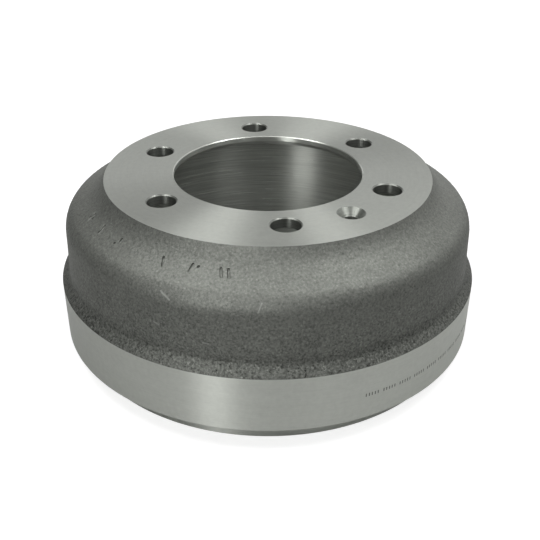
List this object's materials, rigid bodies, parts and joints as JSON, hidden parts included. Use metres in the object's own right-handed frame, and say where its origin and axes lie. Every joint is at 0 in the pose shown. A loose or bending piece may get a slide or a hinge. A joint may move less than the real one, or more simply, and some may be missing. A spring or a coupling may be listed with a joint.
{
  "type": "brake drum",
  "caption": "Cast iron brake drum: turned mounting face with stud holes and a screw hole, rough cast shoulder and wall, turned band and lip round the open braking bore.",
  "frame": {"origin": "centre of the open lip's end face, on the drum's axis", "axes": "+Z along the axis from the open lip towards the mounting face, +Y through a stud hole"},
  "size_m": [0.2932, 0.2932, 0.121],
  "materials": {
    "cast_iron": "grey cast iron, sand cast outside, turned on the mounting face, band, lip and braking bore"
  },
  "bodies": {
    "root": {"brake_drum": "cast_iron"}
  },
  "joints": []
}
